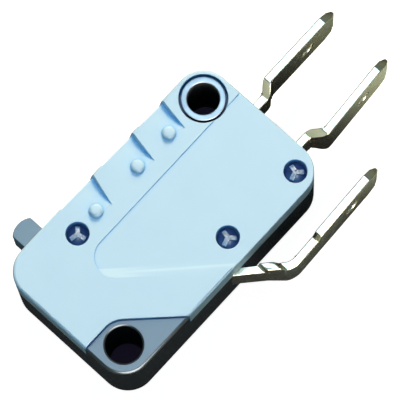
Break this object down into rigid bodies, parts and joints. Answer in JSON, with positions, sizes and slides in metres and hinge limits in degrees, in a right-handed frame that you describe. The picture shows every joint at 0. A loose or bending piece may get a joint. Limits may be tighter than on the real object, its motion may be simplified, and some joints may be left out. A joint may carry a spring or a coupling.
{
  "type": "micro switch",
  "caption": "Flat boxy snap-action micro switch with a short push plunger, bent blade terminals, a light cover on a dark base and through mounting holes.",
  "frame": {"origin": "axis of the lower mounting hole, on the flat back of the base", "axes": "+X along the case to the end terminals, +Y to the plunger side, +Z out of the cover; the switch lies on its back"},
  "size_m": [0.0399, 0.0223, 0.0107],
  "materials": {
    "base_plastic": "moulded satin",
    "cover_plastic": "moulded satin",
    "plunger_plastic": "moulded satin",
    "rocker_plastic": "moulded natural",
    "bush_metal": "bright nickel plate",
    "terminal_metal": "tin plate on brass, stamped edges",
    "arm_metal": "rolled copper alloy",
    "contact_silver": "silver alloy, pressed",
    "spring_steel": "drawn wire",
    "pin_steel": "ground"
  },
  "bodies": {
    "case": {"base": "base_plastic", "cover": "cover_plastic", "mounting_bush": "bush_metal", "rocker_pin": "pin_steel", "common_terminal": "terminal_metal", "nc_terminal": "terminal_metal", "no_terminal": "terminal_metal", "nc_contact": "contact_silver", "no_contact": "contact_silver"},
    "plunger": {"plunger": "plunger_plastic"},
    "rocker": {"rocker": "rocker_plastic"},
    "arm": {"contact_arm": "arm_metal", "moving_contact": "contact_silver", "snap_spring": "spring_steel"}
  },
  "joints": [
    {"name": "plunger_slide", "type": "slide", "parent": "case", "child": "plunger", "axis": [0, -1, 0], "range_m": [0, 0.0019], "stiffness_N_per_m": 900, "springref_m": -0.001},
    {"name": "rocker_pivot", "type": "hinge", "parent": "case", "child": "rocker", "pos_m": [0.00919, 0.0069, 0.00515], "axis": [0, 0, 1], "range_deg": [0, 15.2]},
    {"name": "arm_pivot", "type": "hinge", "parent": "case", "child": "arm", "pos_m": [0.01134, 0.00383, 0.00515], "axis": [0, 0, 1], "range_deg": [-4.81, 0], "deforming": ["snap_spring"]}
  ],
  "couplings": [
    {"joint": "rocker_pivot", "follows": "plunger_slide", "rad_per_m": 139.08},
    {"joint": "arm_pivot", "follows": "plunger_slide", "rad_per_m": -44.079}
  ]
}
